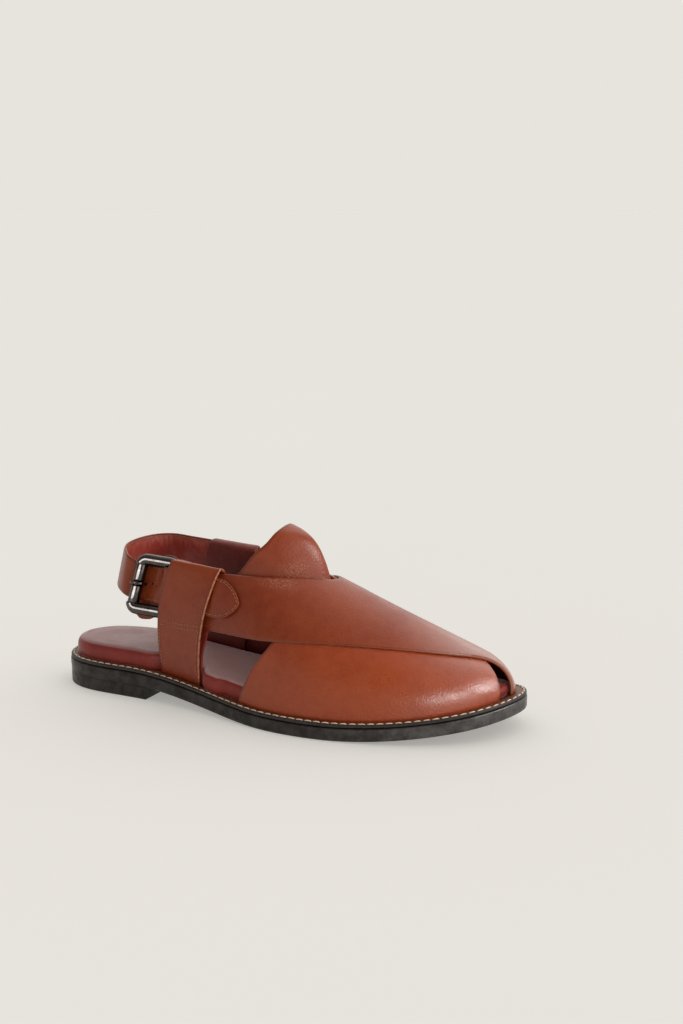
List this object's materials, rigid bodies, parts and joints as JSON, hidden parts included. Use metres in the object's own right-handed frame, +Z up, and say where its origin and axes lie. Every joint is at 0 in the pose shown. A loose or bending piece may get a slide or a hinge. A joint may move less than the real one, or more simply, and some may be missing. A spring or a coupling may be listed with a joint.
{
  "type": "peshawari chappal",
  "caption": "Right peshawari chappal: crossed leather bands, peaked tongue, buckled heel strap, cushioned footbed, stitched welt and low heel.",
  "frame": {"origin": "on the floor, under the middle of the shoe's box", "axes": "+X towards the toe, +Y towards the medial (inner) side of this right shoe, +Z up"},
  "size_m": [0.3, 0.1086, 0.1108],
  "materials": {
    "cognac_leather": "polished, semi-gloss, with fine creases",
    "oxblood_leather": "soft semi-gloss lining leather",
    "welt_leather": "waxed, with cream lockstitch",
    "black_sole": "matt, lightly scuffed",
    "gunmetal": "polished dark nickel"
  },
  "bodies": {
    "root": {"outsole": "black_sole", "heel": "black_sole", "welt": "welt_leather", "footbed": "oxblood_leather", "upper": "cognac_leather", "tongue": "cognac_leather", "keeper_lateral": "cognac_leather", "keeper_medial": "cognac_leather", "heel_strap": "cognac_leather", "buckle_guard": "cognac_leather", "buckle_frame": "gunmetal", "buckle_roller": "gunmetal", "buckle_prong": "gunmetal"}
  },
  "joints": []
}
